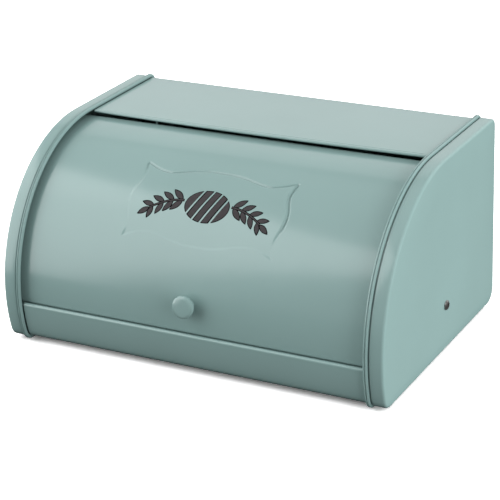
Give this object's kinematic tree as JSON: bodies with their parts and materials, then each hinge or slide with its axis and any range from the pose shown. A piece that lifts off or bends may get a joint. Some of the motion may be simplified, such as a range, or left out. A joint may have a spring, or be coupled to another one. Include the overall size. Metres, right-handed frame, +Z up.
{
  "type": "bread bin",
  "caption": "Enamelled steel roll-top bread bin with deep side caps, a rolled seam round each rim and a curved lid that turns up and back on side arms.",
  "frame": {"origin": "centre of the bounding box's bottom face, on the worktop under the feet", "axes": "+X to the right of someone facing the lid, +Y to the back, +Z up"},
  "size_m": [0.4052, 0.2784, 0.198],
  "materials": {
    "enamel": "satin duck-egg green paint",
    "ink": "satin dark grey print",
    "nickel": "nickel plated",
    "zinc": "bright zinc plated",
    "nylon": "natural nylon",
    "rubber": "matt black rubber"
  },
  "bodies": {
    "bin": {"side_cap_left": "enamel", "side_cap_right": "enamel", "base_apron_panel": "enamel", "top_back_panel": "enamel", "pivot_screw_left": "nickel", "pivot_screw_right": "nickel", "pivot_bush_left": "nylon", "pivot_bush_right": "nylon", "pivot_washer_left": "zinc", "pivot_washer_right": "zinc", "pivot_nut_left": "zinc", "pivot_nut_right": "zinc", "closed_stop_left": "rubber", "closed_stop_right": "rubber", "open_stop_left": "rubber", "open_stop_right": "rubber", "foot_front_left": "rubber", "foot_front_right": "rubber", "foot_back_left": "rubber", "foot_back_right": "rubber", "foot_rivet_front_left": "zinc", "foot_rivet_front_right": "zinc", "foot_rivet_back_left": "zinc", "foot_rivet_back_right": "zinc"},
    "lid": {"lid_sheet": "enamel", "lid_arm_left": "enamel", "lid_arm_right": "enamel", "knob": "enamel", "knob_screw": "zinc", "knob_washer": "zinc"}
  },
  "joints": [
    {"name": "lid_hinge", "type": "hinge", "parent": "bin", "child": "lid", "pos_m": [0, 0.01085, 0.0496], "axis": [-1, 0, 0], "range_deg": [0, 58]}
  ]
}
